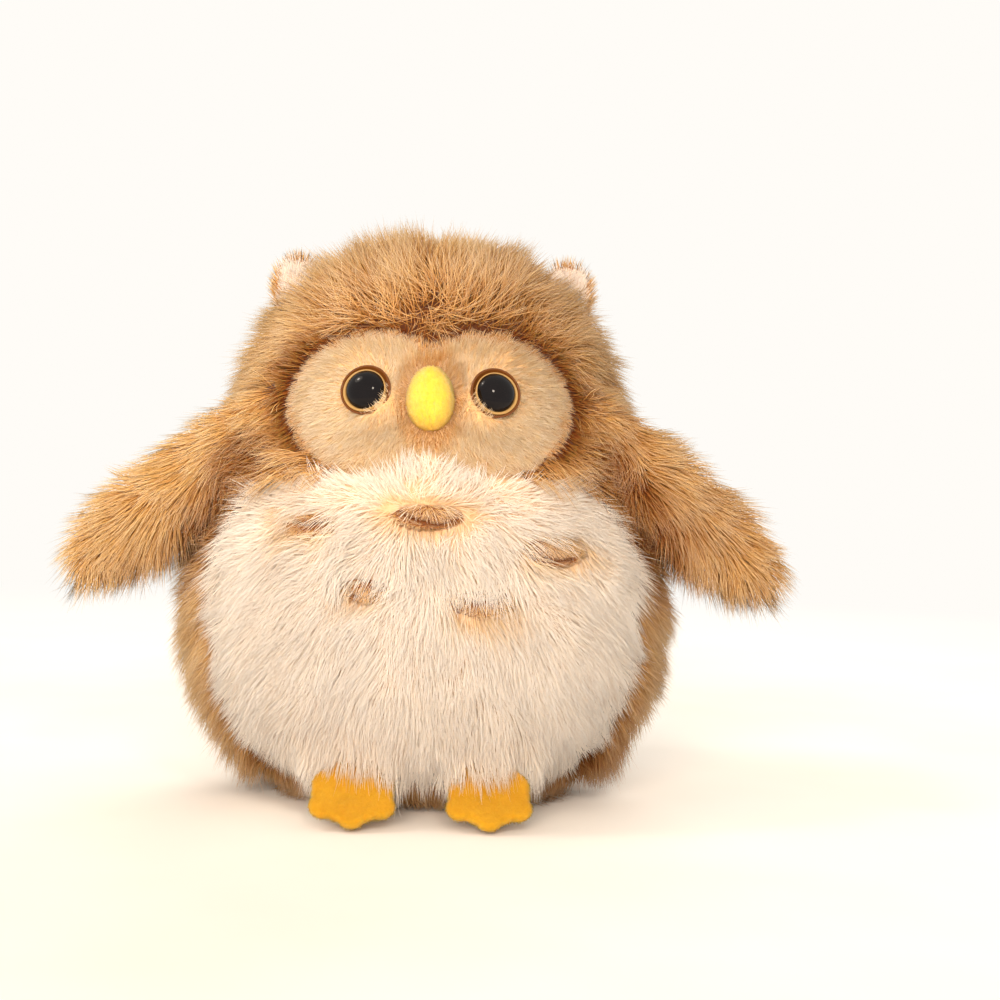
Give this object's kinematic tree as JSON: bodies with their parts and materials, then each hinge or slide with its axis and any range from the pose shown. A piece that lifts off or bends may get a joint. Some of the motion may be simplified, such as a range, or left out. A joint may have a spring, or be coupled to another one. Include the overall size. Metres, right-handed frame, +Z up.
{
  "type": "plush owl",
  "caption": "Round stuffed owl in long brown pile with a pale belly, short-plush face, padded beak, safety eyes, hanging wings, ears and felt feet, sitting on a flat base.",
  "frame": {"origin": "centre of the flat base, on the surface that the owl sits on", "axes": "+Z up through the crown, -Y out of the face, +X to the owl's own left"},
  "size_m": [0.1756, 0.1087, 0.137],
  "materials": {
    "brown_pile": "matte",
    "cream_pile": "matte",
    "face_plush": "matte",
    "spot_plush": "matte",
    "ear_plush": "matte",
    "yellow_plush": "matte",
    "yellow_felt": "matte",
    "fibre_fill": "matte",
    "amber_plastic": "gloss",
    "black_plastic": "gloss",
    "washer_plastic": "satin"
  },
  "bodies": {
    "body": {"body_stuffing": "fibre_fill", "head_stuffing": "fibre_fill", "hood_panel": "brown_pile", "back_panel_left": "brown_pile", "back_panel_right": "brown_pile", "base_panel": "brown_pile", "belly_panel": "cream_pile", "belly_spot_1": "spot_plush", "belly_spot_2": "spot_plush", "belly_spot_3": "spot_plush", "belly_spot_4": "spot_plush", "belly_spot_5": "spot_plush", "face_panel": "face_plush", "beak_cover": "yellow_plush", "beak_stuffing": "fibre_fill", "eye_left_rim": "amber_plastic", "eye_left_pupil": "black_plastic", "eye_left_washer": "washer_plastic", "eye_right_rim": "amber_plastic", "eye_right_pupil": "black_plastic", "eye_right_washer": "washer_plastic"},
    "wing_left": {"wing_left_front": "brown_pile", "wing_left_back": "brown_pile", "wing_left_stuffing": "fibre_fill"},
    "wing_right": {"wing_right_front": "brown_pile", "wing_right_back": "brown_pile", "wing_right_stuffing": "fibre_fill"},
    "ear_left": {"ear_left_inner": "ear_plush", "ear_left_outer": "brown_pile"},
    "ear_right": {"ear_right_inner": "ear_plush", "ear_right_outer": "brown_pile"},
    "foot_left": {"foot_left": "yellow_felt"},
    "foot_right": {"foot_right": "yellow_felt"}
  },
  "joints": [
    {"name": "wing_left", "type": "hinge", "parent": "body", "child": "wing_left", "pos_m": [0.04308, -0.02, 0.09659], "axis": [0.1736, -0.9848, 0], "range_deg": [-10, 70], "stiffness_Nm_per_rad": 0.02},
    {"name": "wing_right", "type": "hinge", "parent": "body", "child": "wing_right", "pos_m": [-0.04308, -0.02, 0.09659], "axis": [0.1736, 0.9848, 0], "range_deg": [-10, 70], "stiffness_Nm_per_rad": 0.02},
    {"name": "ear_left", "type": "hinge", "parent": "body", "child": "ear_left", "pos_m": [0.03322, -0.004, 0.1233], "axis": [1, 0, 0], "range_deg": [-30, 30], "stiffness_Nm_per_rad": 0.002},
    {"name": "ear_right", "type": "hinge", "parent": "body", "child": "ear_right", "pos_m": [-0.03322, -0.004, 0.1233], "axis": [1, 0, 0], "range_deg": [-30, 30], "stiffness_Nm_per_rad": 0.002},
    {"name": "foot_left", "type": "hinge", "parent": "body", "child": "foot_left", "pos_m": [0.0155, -0.04038, 0.01225], "axis": [-1, 0, 0], "range_deg": [-25, 50], "stiffness_Nm_per_rad": 0.001},
    {"name": "foot_right", "type": "hinge", "parent": "body", "child": "foot_right", "pos_m": [-0.0155, -0.04038, 0.01225], "axis": [-1, 0, 0], "range_deg": [-25, 50], "stiffness_Nm_per_rad": 0.001}
  ]
}
